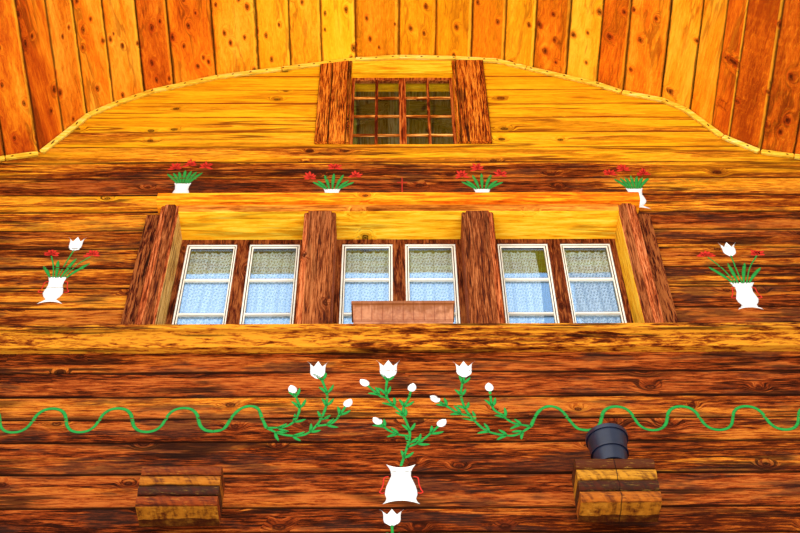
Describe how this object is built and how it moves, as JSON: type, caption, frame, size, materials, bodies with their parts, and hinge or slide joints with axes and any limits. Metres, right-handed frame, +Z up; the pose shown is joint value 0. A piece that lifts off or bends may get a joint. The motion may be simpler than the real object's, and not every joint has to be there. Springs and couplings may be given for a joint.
{
  "type": "alpine chalet",
  "caption": "Squared-log alpine chalet on a masonry basement, with an arched board lining under the front gable and painted ornaments.",
  "frame": {"origin": "middle of the house's plan on the ground, the centre of the base", "axes": "+Z up, the arched front faces -Y, +X to the right seen from the front"},
  "size_m": [11.78, 12.63, 11.6],
  "materials": {
    "masonry": "lime render over rubble stone",
    "cellar_floor": "screed",
    "log_front": "weathered squared spruce logs, honey to dark brown",
    "log_side": "weathered squared spruce logs",
    "floor_boards": "scrubbed spruce boards",
    "roof_timber": "sawn spruce",
    "roof_cover": "grey weathered shingles",
    "edge_boards": "stained boards",
    "lining": "honey-coloured knotty boards",
    "strip": "pale fresh batten",
    "window_trim": "bright honey-coloured moulded timber",
    "posts": "red-brown grained boards",
    "frames": "brown window timber",
    "casements": "cream paint",
    "attic_timber": "red-brown window timber",
    "glass": "window glass",
    "door": "brown planks",
    "troughs": "ribbed yellow and brown boards",
    "iron": "black forged brackets",
    "terracotta": "terracotta-coloured planter",
    "pot": "dark blue plastic"
  },
  "bodies": {
    "root": {"basement_floor": "cellar_floor", "front_basement_wall": "masonry", "back_basement_wall": "masonry", "left_basement_wall": "masonry", "right_basement_wall": "masonry", "basement_frames": "frames", "basement_glass": "glass", "door_frame": "door", "entrance_door": "door", "living_floor": "floor_boards", "upper_floor": "floor_boards", "attic_floor": "floor_boards", "front_wall": "log_front", "back_wall": "log_side", "left_wall": "log_side", "right_wall": "log_side", "ridge_purlin": "roof_timber", "middle_purlins": "roof_timber", "eave_purlins": "roof_timber", "rafters": "roof_timber", "roof_left": "roof_cover", "roof_right": "roof_cover", "ridge_cap": "roof_cover", "front_verge_boards": "edge_boards", "back_verge_boards": "edge_boards", "eave_boards": "edge_boards", "arch_lining": "lining", "arch_strip": "strip", "arch_spandrel": "lining", "front_ledges": "window_trim", "front_posts": "posts", "front_cornices": "window_trim", "front_side_boards": "posts", "front_frames": "frames", "front_casements": "casements", "front_glass": "glass", "attic_casings": "attic_timber", "attic_casements": "attic_timber", "side_casings": "posts", "side_frames": "frames", "side_casements": "casements", "side_glass": "glass", "wall_troughs": "troughs", "trough_brackets": "iron", "ledge_planter": "terracotta", "pot": "pot", "chimney": "masonry"}
  },
  "joints": []
}
